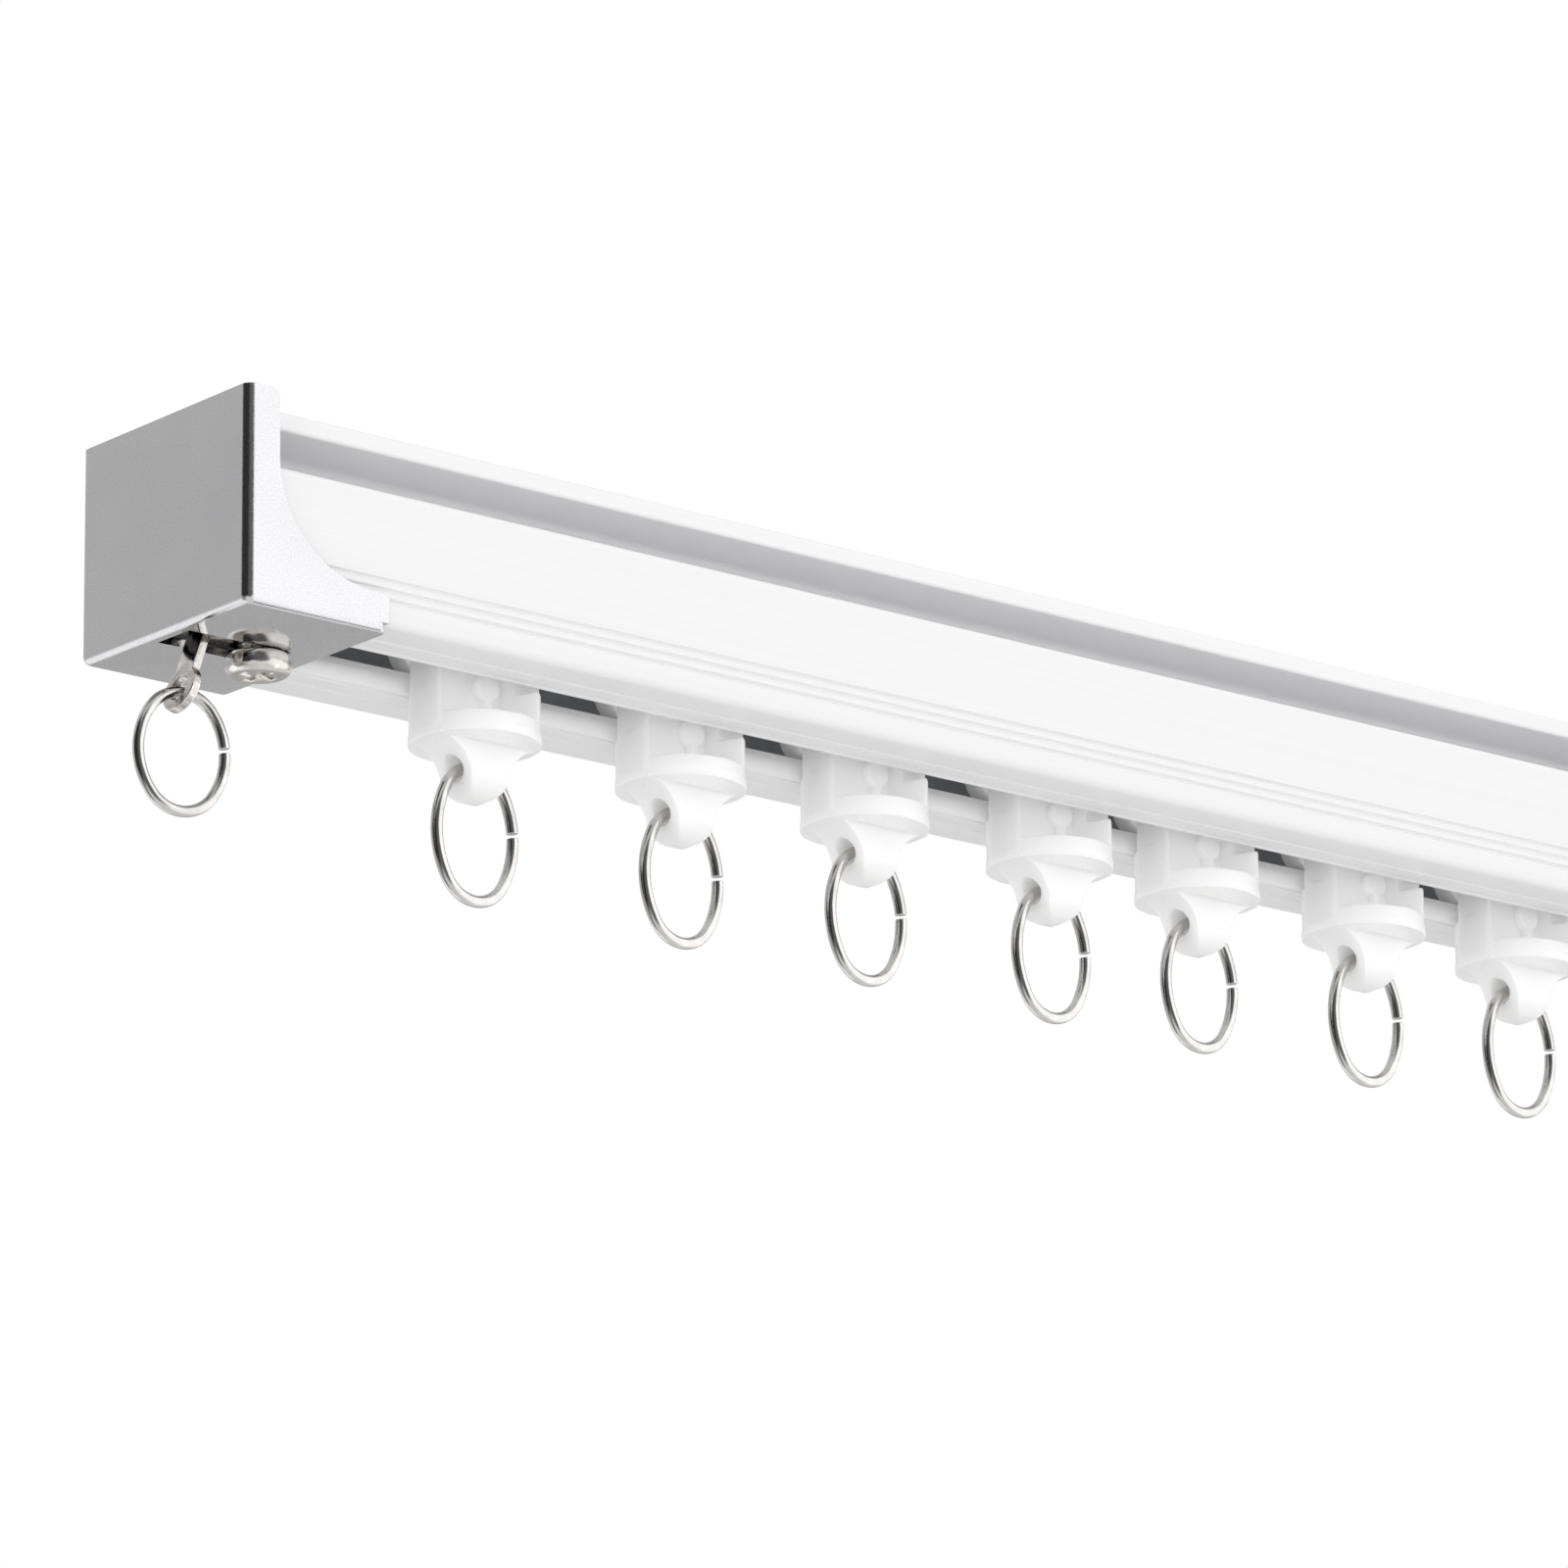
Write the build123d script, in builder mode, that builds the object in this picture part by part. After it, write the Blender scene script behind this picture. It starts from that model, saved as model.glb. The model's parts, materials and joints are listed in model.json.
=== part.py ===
from build123d import *
from math import asin, atan2, cos, degrees, pi, radians, sin, sqrt
import os

# Ceiling curtain track: an aluminium I-section with a slotted channel, eight running carriers
# with split rings, a plated stop cap with an eyelet at each end, two ceiling brackets with a
# locking lever, an S hook and a spring clip. Millimetres. X runs along the track, Z is up.
# The origin is at mid-length in the ceiling plane, between the two bracket screw holes.

os.makedirs("parts", exist_ok=True)

# ---------------------------------------------------------------- driving dimensions
CUT_PAST = 1.0                      # how far a cut runs beyond what it cuts
OVERLAP = 0.1                       # how far a joined shape runs into its neighbour
TRACK_LENGTH = 600.0                # over the outer faces of the end caps
BRACKET_SPACING = 150.0             # between the two ceiling screws
BRACKET_SHEET = 2.0
TRACK_HEIGHT = 22.8
BASE = -BRACKET_SHEET - TRACK_HEIGHT        # underside of the track; heights below are above it
HALF = TRACK_LENGTH / 2

# track section
FLANGE_HALF = 9.1
FLANGE_BOTTOM = 20.7
WEB_HALF = 0.75
CHANNEL_HALF = 14.0
CHANNEL_TOP = 14.8
CHANNEL_WALL = 1.3
LIP = 2.1
SLOT_HALF = 4.0
BEAD = 1.6
BEAD_GROOVE = 0.6
GROOVE_HEIGHTS = (4.9, 3.83, 2.75)
GROOVE_RADIUS = 0.3
SECTION_RADII = (0.5, 0.4, 0.8, 0.5, 0.8, 1.1)      # from the flange's top edge to the channel's foot

# end cap
CAP_SHEET = 0.95
CAP_HALF = 15.0
CAP_DROP = 1.1                      # how far the cap reaches below the track
CAP_LENGTH = 18.45
CAP_FLAP = 4.15                     # width of the flap at the top
CAP_SWEEP = 12.5                    # radius of the flap's hollow edge
CAP_TAB = 3.05                      # height of the flap's tab above the track's underside
CAP_BEND = 1.5
CAP_SIDE_BEND = 1.15
CAP_FOOT_BEND = 1.0
CAP_TIP_RADIUS = 0.8
CAP_SLOT_HALF = 2.8
CAP_SLOT_CUT = 2.45                 # height of the slot's cut, up through the bend
CAP_GAP = 0.1                       # end of the track to the inside of the cap
SEAM_WIDTH = 0.14                   # between a side flap and the bottom, folded separately
SEAM_DEPTH = 0.5

# eyelet tongue, its screw and nut
TONGUE_SHEET = 1.0
TONGUE_X = 4.9                      # where the tongue turns down, from the cap's outer face
TONGUE_LEAN = 18.0                  # degrees from the vertical
TONGUE_WIDTH = 3.1
TONGUE_LIFT = 0.05                  # above the cap's bottom
TONGUE_SIDE_GAP = 0.2               # each side, in the cap's slot
TONGUE_PAST_SCREW = 2.2
EYE_RADIUS = 2.6
EYE_HOLE = 1.45
EYE_DEPTH = 6.7                     # eyelet centre below the track's underside
SCREW_X = 12.5
SCREW_RADIUS = 2.0
SCREW_HEAD_RADIUS = 3.6
SCREW_HEAD = 2.4
EYE_DROP = 0.1                      # of the eye's middle, below the line through its hole
STRIP_PAST_EYE = 0.6
SCREW_DOME = 1.1                    # radius of the head's lower edge
SCREW_SHOULDER = 0.7                # and of its upper edge
SCREW_PAST_NUT = 0.8
SCREW_CHAMFER = 0.4
RECESS_SPAN = 4.0
RECESS_WIDTH = 0.9
RECESS_DEPTH = 1.3
HOLE_PLAY = 0.1                     # round a screw's shank, on radius
NUT_LENGTH = 9.0
NUT_WIDTH = 13.0
NUT_HEIGHT = 2.5
NUT_CORNER = 0.6
NUT_CHAMFER = 0.3
NUT_FIT = 0.02

# oval split rings
RING_WIRE = 0.66
RING_HALF_WIDTH = 5.12
RING_HALF_HEIGHT = 7.37
RING_END_RADIUS = 4.3
END_RING_WIRE = 0.62
END_RING_HALF_WIDTH = 5.0
END_RING_HALF_HEIGHT = 6.45
END_RING_END_RADIUS = 4.3
END_RING_TURN = -10.0               # degrees about Z
RING_SPLIT = 0.5
RING_SPLIT_HEIGHT = 0.67            # above the ring's centre

# carriers
CARRIER_PLACES = (41.3, 69.7, 96.0, 123.3, 145.8, 171.9, 196.6, 222.0)   # from the left end
CARRIER_RADIUS = 7.2                # of the flange below the slot
NECK_HALF = 7.0                     # half-length of the neck that passes through the slot
NECK_CORNER = 0.8
CARRIER_HALF = 2.8
CARRIER_TOP = 8.6
COLLAR_RADIUS = 7.1                 # round the neck, between the flange and the track
COLLAR_GAP = 0.4                    # below the track
FLANGE_TOP = -5.1
FLANGE_THICKNESS = 1.05
POCKET_DEPTH = 1.4
POCKET_BOTTOM = -3.8
POCKET_TOP = 3.2
POCKET_START = -6.5                 # steep end of the pocket
POCKET_SLOPE = 2.4                  # where its floor starts to rise to the other end
POCKET_END = 4.3                    # where it meets the collar's outside
BOSS_RADIUS = 1.45
BOSS_SUNK = 0.25                    # below the neck's flat
STEM_HALF = 0.4
LOBE_HALF = 2.5
LOBE_BOTTOM = -12.5
FLARE_HALF = 6.9
FLARE_SUNK = 0.3                    # into the flange
RING_HOLE = 1.45
RING_HOLE_DEPTH = 8.95
RING_TOP_DEPTH = 8.5                # centre of the ring's wire at its top
WHEEL_RADIUS = 3.2
WHEEL_WIDTH = 3.0
WHEEL_INNER = 3.75                  # inner face of a wheel, from the middle
WHEEL_SPACING = 7.5
WHEEL_LIFT = 0.1                    # running gap above the channel's lips
WHEEL_SIDE_GAP = 0.3
TYRE_RADIUS = 0.4
AXLE_RADIUS = 1.3
AXLE_FIT = 0.05
AXLE_HEAD_RADIUS = 1.9
AXLE_BOSS_RADIUS = 2.3
AXLE_HEAD = 0.6

# ceiling bracket
BRACKET_LENGTH = 24.0
BRACKET_CORNER = 5.0
BRACKET_BEND = 1.6
BRACKET_HOOK_GAP = 0.3
BRACKET_HOOK_REACH = 3.2            # under the flange
BRACKET_HOOK_SHEET = 1.5
BRACKET_LIP_GAP = 0.1               # below the flange
SCREW_HOLE = 2.2
COUNTERSINK = 3.4
PIVOT_Y = -12.6
PIVOT_RADIUS = 1.5
PIVOT_MARGIN = 3.4                  # plate beyond the pivot
PIVOT_PLAY = 0.05
LEVER_SHEET = 1.3
LEVER_HUB = 3.0
LEVER_CAM = 6.4                     # reach of the cam under the flange, from the pivot
LEVER_CAM_CORNER = 1.5
LEVER_TAIL = 11.0
LEVER_TAIL_WIDTH = 4.4
LEVER_TAIL_RADIUS = 3.2
LEVER_GAP = 0.15
RIVET_HEAD_RADIUS = 2.6
RIVET_HEAD = 1.0
RIVET_HEAD_DOME = 0.6
RIVET_SHOULDER = 2.3
RIVET_GAP = 0.1

# S hook: the steps are (length, 0) or (radius, turn in degrees), from its free upper end
S_WIRE = 0.95
S_TOP_RADIUS = 7.8
S_BOTTOM_RADIUS = 7.2
S_START = 95.7                      # heading of the free end, degrees
S_FREE = 8.0
S_STEPS = (
    (S_FREE, 0), (S_TOP_RADIUS, -235.7), (6.5, 0), (7.0, 28), (17.0, 0),
    (S_BOTTOM_RADIUS, 180), (14.0, 0), (4.0, -53), (3.6, 0),
)
S_LEAN = -0.8                       # degrees, so that its weight hangs under the ring

# clip and its hook
CLIP_WIRE = 0.65
CLIP_HOOK_RADIUS = 7.6
CLIP_REACH = 26.2                   # hook loop's centre to the rivet
CLIP_EYE = 2.25
CLIP_START = 69.9                   # heading of the hook's free end, degrees
CLIP_FREE = 10.0
CLIP_EYE_HEADING = 100.0            # of the eye's cut end
CLIP_EYE_END = 3.0
CLIP_SHEET = 0.6
CLIP_HALF_DEPTH = 4.6
JAW_GAP = 0.15                      # between the two jaws' side walls
JAW_TOP = (-11.0, 12.2)             # jaw outline, from the rivet
JAW_HANDLE = (-7.4, 12.0)
JAW_ELBOW = (-5.6, 4.2)
JAW_WAIST = (-2.4, -5.6)
JAW_TIP = (-0.3, -17.6)
JAW_FOOT = (-3.6, -17.8)
EAR = 3.0
RIVET_RADIUS = 1.5
RIVET_RIM = 0.6
RIVET_RIM_HEIGHT = 0.5
SPRING_WIRE = 0.3
SPRING_RADIUS = 2.5
SPRING_PITCH = 0.62
SPRING_LEG = 9.5
SPRING_START = 130.0                # where the coil starts, degrees round the rivet
SPRING_TURNS = 1000.0 / 360.0       # leaves the second leg a mirror image of the first
SPRING_GAP = 0.1                    # between the coil and the hook's eye
HANG_GAP = 0.3                      # between wires that hang on each other


def save(piece, name):
    piece.part.label = name
    export_step(piece.part, f"parts/{name}.step")


def end_copy(piece, name):
    """The same piece at the right-hand end, turned half a turn about Z."""
    with BuildPart() as copied:
        add(piece.part, rotation=(0, 0, 180))
    save(copied, name)


def bent_wire(start, heading, steps):
    """Straights and arcs laid end to end. A step is (length, 0) or (radius, turn in degrees)."""
    point = Vector(*start)
    angle = heading
    for size, turn in steps:
        if turn == 0:
            end = point + Vector(cos(radians(angle)), sin(radians(angle))) * size
            Line((point.X, point.Y), (end.X, end.Y))
            point = end
        else:
            side = 1 if turn > 0 else -1
            inward = radians(angle + 90 * side)
            centre = point + Vector(cos(inward), sin(inward)) * size
            CenterArc((centre.X, centre.Y), size, angle - 90 * side, turn)
            angle += turn
            outward = radians(angle - 90 * side)
            point = centre + Vector(cos(outward), sin(outward)) * size


def oval(half_width, half_height, end_radius):
    """A split oval of four arcs, drawn from one side of the split round to the other."""
    rise = half_height - end_radius
    side_radius = (half_width**2 + rise**2 - end_radius**2) / (2 * (half_width - end_radius))
    reach = side_radius - half_width
    join = degrees(atan2(rise, reach))
    split_top = degrees(asin((RING_SPLIT_HEIGHT + RING_SPLIT / 2) / side_radius))
    split_bottom = degrees(asin((RING_SPLIT_HEIGHT - RING_SPLIT / 2) / side_radius))
    CenterArc((-reach, 0), side_radius, split_top, join - split_top)
    CenterArc((0, rise), end_radius, join, 180 - 2 * join)
    CenterArc((reach, 0), side_radius, 180 - join, 2 * join)
    CenterArc((0, -rise), end_radius, 180 + join, 180 - 2 * join)
    CenterArc((-reach, 0), side_radius, -join, join + split_bottom)


def sweep_wire(path, wire_radius):
    """A round wire along the path, as one solid in the part being built."""
    route = path.wire()
    with BuildSketch(Plane(origin=route @ 0, z_dir=route % 0)) as cross_section:
        Circle(wire_radius)
    sweep(sections=cross_section.sketch, path=route)


# ---------------------------------------------------------------- track
with BuildPart() as track:
    track_start = -HALF + CAP_SHEET + CAP_GAP
    inside_half = CHANNEL_HALF - CHANNEL_WALL
    inside_top = BASE + CHANNEL_TOP - CHANNEL_WALL
    with BuildSketch(Plane.YZ.offset(track_start)):
        with BuildLine():
            FilletPolyline(
                (0, -BRACKET_SHEET),
                (FLANGE_HALF, -BRACKET_SHEET),
                (FLANGE_HALF, BASE + FLANGE_BOTTOM),
                (WEB_HALF, BASE + FLANGE_BOTTOM),
                (WEB_HALF, BASE + CHANNEL_TOP),
                (CHANNEL_HALF, BASE + CHANNEL_TOP),
                (CHANNEL_HALF, BASE),
                (SLOT_HALF + BEAD + BEAD_GROOVE, BASE),
                radius=SECTION_RADII,
            )
            bead_edge = SLOT_HALF + BEAD
            ThreePointArc(
                (bead_edge + BEAD_GROOVE, BASE),
                (bead_edge + BEAD_GROOVE / 2, BASE + BEAD_GROOVE * 0.6),
                (bead_edge, BASE),
            )
            CenterArc((bead_edge, BASE + BEAD), BEAD, 180, 90)
            Polyline(
                (SLOT_HALF, BASE + BEAD),
                (SLOT_HALF, BASE + LIP),
                (inside_half, BASE + LIP),
                (inside_half, inside_top),
                (0, inside_top),
                (0, -BRACKET_SHEET),
            )
        make_face()
        mirror(about=Plane.YZ)
        with Locations([(side * CHANNEL_HALF, BASE + h) for side in (-1, 1) for h in GROOVE_HEIGHTS]):
            Circle(GROOVE_RADIUS, mode=Mode.SUBTRACT)
    extrude(amount=-2 * track_start)
save(track, "track")

# ---------------------------------------------------------------- end caps
end_x = -HALF
cap_bottom = BASE - CAP_DROP
with BuildPart() as cap:
    with BuildSketch(Plane.XY.offset(cap_bottom)):
        with Locations((end_x, 0)):
            Rectangle(CAP_LENGTH, 2 * CAP_HALF, align=(Align.MIN, Align.CENTER))
    extrude(amount=TRACK_HEIGHT + CAP_DROP)
    fillet(cap.edges().filter_by(Axis.Z).group_by(Axis.X)[0], CAP_SIDE_BEND)
    lower = cap.faces().sort_by(Axis.Z)[0].edges()
    fillet(lower.filter_by(Axis.Y).sort_by(Axis.X)[0], CAP_FOOT_BEND)
    with BuildSketch(Plane.XY.offset(cap_bottom + CAP_SHEET)):
        with Locations((end_x + CAP_SHEET, 0)):
            Rectangle(CAP_LENGTH, 2 * (CAP_HALF - CAP_SHEET), align=(Align.MIN, Align.CENTER))
    extrude(amount=TRACK_HEIGHT + CAP_DROP, mode=Mode.SUBTRACT)
    with BuildSketch(Plane.XZ):
        with BuildLine():
            sweep_x = end_x + CAP_FLAP + CAP_SWEEP
            sweep_z = BASE + CAP_TAB + CAP_SWEEP
            CenterArc((sweep_x, sweep_z), CAP_SWEEP, 180, 90)
            Polyline(
                (sweep_x, BASE + CAP_TAB),
                (end_x + CAP_LENGTH + CUT_PAST, BASE + CAP_TAB),
                (end_x + CAP_LENGTH + CUT_PAST, CUT_PAST),
                (end_x + CAP_FLAP, 1),
                (end_x + CAP_FLAP, sweep_z),
            )
        make_face()
    extrude(amount=CAP_HALF + CUT_PAST, both=True, mode=Mode.SUBTRACT)
    sheet_edges = cap.edges().filter_by(Axis.Y).filter_by(lambda edge: edge.length < 2 * CAP_SHEET)
    fillet(sheet_edges.group_by(Axis.Z)[-1].group_by(Axis.X)[-1], CAP_TIP_RADIUS)
    sheet_edges = cap.edges().filter_by(Axis.Y).filter_by(lambda edge: edge.length < 2 * CAP_SHEET)
    fillet(sheet_edges.group_by(Axis.X)[-1].group_by(Axis.Z)[-1], CAP_TIP_RADIUS)
    with BuildSketch(Plane.XY.offset(cap_bottom - CUT_PAST)):
        for side in (-1, 1):
            with Locations((end_x + CAP_LENGTH - CAP_BEND, side * (CAP_HALF - CAP_BEND))):
                Rectangle(
                    2 * CAP_BEND, 2 * CAP_BEND,
                    align=(Align.MIN, Align.MIN if side > 0 else Align.MAX),
                )
                Circle(CAP_BEND, mode=Mode.SUBTRACT)
    extrude(amount=CAP_SHEET + CUT_PAST, mode=Mode.SUBTRACT)
    with BuildSketch(Plane.XY.offset(cap_bottom - CUT_PAST)):
        with Locations((end_x + CAP_BEND, 0)):
            Rectangle(
                SCREW_X + SCREW_RADIUS + HOLE_PLAY - CAP_BEND, 2 * CAP_SLOT_HALF,
                align=(Align.MIN, Align.CENTER),
            )
    extrude(amount=CAP_SLOT_CUT, mode=Mode.SUBTRACT)
    with BuildSketch(Plane.XY.offset(cap_bottom)):
        for side in (-1, 1):
            with Locations((end_x + CAP_SIDE_BEND, side * (CAP_HALF - CAP_SHEET / 2))):
                Rectangle(CAP_LENGTH, SEAM_WIDTH, align=(Align.MIN, Align.CENTER))
    extrude(amount=SEAM_DEPTH, mode=Mode.SUBTRACT)
save(cap, "end_cap_left")
end_copy(cap, "end_cap_right")

# ---------------------------------------------------------------- eyelet tongues
arm_bottom = BASE - CAP_DROP + CAP_SHEET + TONGUE_LIFT
arm_end = end_x + SCREW_X + SCREW_RADIUS + TONGUE_PAST_SCREW
arm_width = 2 * (CAP_SLOT_HALF - TONGUE_SIDE_GAP)
lean = radians(TONGUE_LEAN)
bend_x = end_x + TONGUE_X
eye_x = bend_x - (EYE_DEPTH + EYE_DROP) * sin(lean) / cos(lean)
tongue_plane = Plane(
    origin=(eye_x, 0, BASE - EYE_DEPTH),
    x_dir=(0, 1, 0),
    z_dir=(cos(lean), 0, -sin(lean)),
)
with BuildPart() as tongue:
    with BuildSketch(Plane.XY.offset(arm_bottom)):
        with Locations((bend_x, 0)):
            Rectangle(arm_end - bend_x, arm_width, align=(Align.MIN, Align.CENTER))
        with Locations((end_x + SCREW_X, 0)):
            Circle(SCREW_RADIUS + HOLE_PLAY, mode=Mode.SUBTRACT)
    extrude(amount=TONGUE_SHEET)
    strip_length = (EYE_DEPTH + STRIP_PAST_EYE) / cos(lean)
    with BuildSketch(tongue_plane):
        Rectangle(TONGUE_WIDTH, strip_length, align=(Align.CENTER, Align.MIN))
        Circle(EYE_RADIUS)
        Circle(EYE_HOLE, mode=Mode.SUBTRACT)
    extrude(amount=TONGUE_SHEET / 2, both=True)
save(tongue, "eyelet_tongue_left")
end_copy(tongue, "eyelet_tongue_right")

# ---------------------------------------------------------------- cap screws and clamp nuts
with BuildPart() as cap_screw:
    with BuildSketch(Plane.XY.offset(cap_bottom)):
        with Locations((end_x + SCREW_X, 0)):
            Circle(SCREW_HEAD_RADIUS)
    extrude(amount=-SCREW_HEAD)
    fillet(cap_screw.edges().sort_by(Axis.Z)[0], SCREW_DOME)
    fillet(cap_screw.edges().sort_by(Axis.Z)[-1], SCREW_SHOULDER)
    with BuildSketch(Plane.XY.offset(cap_bottom - SCREW_HEAD)):
        with Locations((end_x + SCREW_X, 0)):
            Rectangle(RECESS_SPAN, RECESS_WIDTH)
            Rectangle(RECESS_WIDTH, RECESS_SPAN)
    extrude(amount=RECESS_DEPTH, taper=12, mode=Mode.SUBTRACT)
    with BuildSketch(Plane.XY.offset(cap_bottom)):
        with Locations((end_x + SCREW_X, 0)):
            Circle(SCREW_RADIUS)
    extrude(amount=LIP + CAP_DROP + NUT_HEIGHT + SCREW_PAST_NUT)
    chamfer(cap_screw.edges().sort_by(Axis.Z)[-1], SCREW_CHAMFER)
save(cap_screw, "cap_screw_left")
end_copy(cap_screw, "cap_screw_right")

with BuildPart() as clamp_nut:
    with BuildSketch(Plane.XY.offset(BASE + LIP)):
        with Locations((end_x + SCREW_X, 0)):
            RectangleRounded(NUT_LENGTH, NUT_WIDTH, NUT_CORNER)
            Circle(SCREW_RADIUS + NUT_FIT, mode=Mode.SUBTRACT)
    extrude(amount=NUT_HEIGHT)
    chamfer(clamp_nut.faces().sort_by(Axis.Z)[-1].outer_wire().edges(), NUT_CHAMFER)
save(clamp_nut, "clamp_nut_left")
end_copy(clamp_nut, "clamp_nut_right")

# ---------------------------------------------------------------- end rings
end_ring_z = BASE - EYE_DEPTH - HANG_GAP - END_RING_HALF_HEIGHT
end_ring_plane = Plane(
    origin=(eye_x, 0, end_ring_z),
    x_dir=(cos(radians(END_RING_TURN)), sin(radians(END_RING_TURN)), 0),
    z_dir=(sin(radians(END_RING_TURN)), -cos(radians(END_RING_TURN)), 0),
)
with BuildPart() as end_ring:
    with BuildLine(end_ring_plane) as end_ring_path:
        oval(END_RING_HALF_WIDTH, END_RING_HALF_HEIGHT, END_RING_END_RADIUS)
    sweep_wire(end_ring_path, END_RING_WIRE)
save(end_ring, "end_ring_left")
end_copy(end_ring, "end_ring_right")

# ---------------------------------------------------------------- carrier body, built at x = 0
wheel_z = BASE + LIP + WHEEL_LIFT + WHEEL_RADIUS
axle_places = [(x, wheel_z) for x in (-WHEEL_SPACING / 2, WHEEL_SPACING / 2)]
with BuildPart() as carrier:
    with BuildSketch(Plane.XY.offset(BASE + FLANGE_TOP)):
        RectangleRounded(2 * NECK_HALF, 2 * CARRIER_HALF, NECK_CORNER)
    extrude(amount=CARRIER_TOP - FLANGE_TOP)
    with BuildSketch(Plane.XY.offset(BASE + FLANGE_TOP)):
        Circle(COLLAR_RADIUS)
    extrude(amount=-FLANGE_TOP - COLLAR_GAP)
    pocket_floor = CARRIER_HALF - POCKET_DEPTH
    pocket_mouth = sqrt(COLLAR_RADIUS**2 - POCKET_END**2)
    slope = (POCKET_END - POCKET_SLOPE) / (pocket_mouth - pocket_floor)
    pocket_past = CARRIER_RADIUS + CUT_PAST
    slope_end = POCKET_END + slope * (pocket_past - pocket_mouth)
    for side in (-1, 1):
        with BuildSketch(Plane.XY.offset(BASE + POCKET_BOTTOM)):
            with BuildLine():
                Polyline(
                    (-side * POCKET_START, side * pocket_past),
                    (-side * POCKET_START, side * pocket_floor),
                    (-side * POCKET_SLOPE, side * pocket_floor),
                    (-side * slope_end, side * pocket_past),
                    close=True,
                )
            make_face()
        extrude(amount=POCKET_TOP - POCKET_BOTTOM, mode=Mode.SUBTRACT)
        with BuildSketch(Plane.XZ.offset(side * (CARRIER_HALF - BOSS_SUNK))):
            with Locations((0, BASE)):
                Circle(BOSS_RADIUS)
            with Locations((0, BASE + POCKET_BOTTOM)):
                Rectangle(2 * STEM_HALF, -POCKET_BOTTOM, align=(Align.CENTER, Align.MIN))
        extrude(amount=-side * (POCKET_DEPTH - BOSS_SUNK + OVERLAP))
    with BuildSketch(Plane.XY.offset(BASE + FLANGE_TOP)):
        Circle(CARRIER_RADIUS)
    extrude(amount=-FLANGE_THICKNESS)
    with BuildSketch(Plane.XZ):
        with Locations(axle_places):
            Circle(AXLE_RADIUS)
    axle_reach = WHEEL_INNER + WHEEL_WIDTH + WHEEL_SIDE_GAP
    extrude(amount=axle_reach, both=True)
    for side in (-1, 1):
        with BuildSketch(Plane.XZ.offset(side * axle_reach)):
            with Locations(axle_places):
                Circle(AXLE_HEAD_RADIUS)
        extrude(amount=side * AXLE_HEAD)
        with BuildSketch(Plane.XZ.offset(side * CARRIER_HALF)):
            with Locations(axle_places):
                Circle(AXLE_BOSS_RADIUS)
        extrude(amount=side * (WHEEL_INNER - WHEEL_SIDE_GAP - CARRIER_HALF))
    flare_top = BASE + FLANGE_TOP - FLANGE_THICKNESS
    flare_radius = FLARE_HALF - LOBE_HALF
    with BuildSketch(Plane.XZ):
        with BuildLine():
            Line((-FLARE_HALF, flare_top), (FLARE_HALF, flare_top))
            for side, start in ((1, 90), (-1, 0)):
                CenterArc((side * FLARE_HALF, flare_top - flare_radius), flare_radius, start, 90)
                Line(
                    (side * LOBE_HALF, flare_top - flare_radius),
                    (side * LOBE_HALF, BASE + LOBE_BOTTOM + LOBE_HALF),
                )
            CenterArc((0, BASE + LOBE_BOTTOM + LOBE_HALF), LOBE_HALF, 180, 180)
        make_face()
        with Locations((0, flare_top)):
            Rectangle(2 * FLARE_HALF, FLARE_SUNK, align=(Align.CENTER, Align.MIN))
    extrude(amount=CARRIER_HALF, both=True)
    lobe_past = CARRIER_HALF + CUT_PAST
    with BuildSketch(Plane.YZ):
        with BuildLine():
            CenterArc((0, BASE + LOBE_BOTTOM + CARRIER_HALF), CARRIER_HALF, 180, 180)
            Polyline(
                (-CARRIER_HALF, BASE + LOBE_BOTTOM + CARRIER_HALF),
                (-lobe_past, BASE + LOBE_BOTTOM + CARRIER_HALF),
                (-lobe_past, BASE + LOBE_BOTTOM - CUT_PAST),
                (lobe_past, BASE + LOBE_BOTTOM - CUT_PAST),
                (lobe_past, BASE + LOBE_BOTTOM + CARRIER_HALF),
                (CARRIER_HALF, BASE + LOBE_BOTTOM + CARRIER_HALF),
            )
        make_face()
    extrude(amount=LOBE_HALF + CUT_PAST, both=True, mode=Mode.SUBTRACT)
    with BuildSketch(Plane.YZ):
        with Locations((0, BASE - RING_HOLE_DEPTH)):
            Circle(RING_HOLE)
    extrude(amount=CARRIER_RADIUS, both=True, mode=Mode.SUBTRACT)

# wheel pair: two nylon tyres that snap over the carrier's stub axles, built at x = 0
with BuildPart() as wheel_pair:
    for side in (-1, 1):
        with BuildSketch(Plane.XZ.offset(side * WHEEL_INNER)):
            with Locations((0, wheel_z)):
                Circle(WHEEL_RADIUS)
                Circle(AXLE_RADIUS + AXLE_FIT, mode=Mode.SUBTRACT)
        extrude(amount=side * WHEEL_WIDTH)
    rims = wheel_pair.edges().filter_by(GeomType.CIRCLE)
    fillet(rims.filter_by(lambda edge: edge.radius > AXLE_HEAD_RADIUS), TYRE_RADIUS)

# split ring of a carrier, built at x = 0
ring_z = BASE - RING_TOP_DEPTH - RING_HALF_HEIGHT
with BuildPart() as ring:
    with BuildLine(Plane(origin=(0, 0, ring_z), x_dir=(1, 0, 0), z_dir=(0, -1, 0))) as ring_path:
        oval(RING_HALF_WIDTH, RING_HALF_HEIGHT, RING_END_RADIUS)
    sweep_wire(ring_path, RING_WIRE)


def placed(piece, x, name):
    with BuildPart() as copied:
        with Locations((x, 0, 0)):
            add(piece.part)
    save(copied, name)


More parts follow.
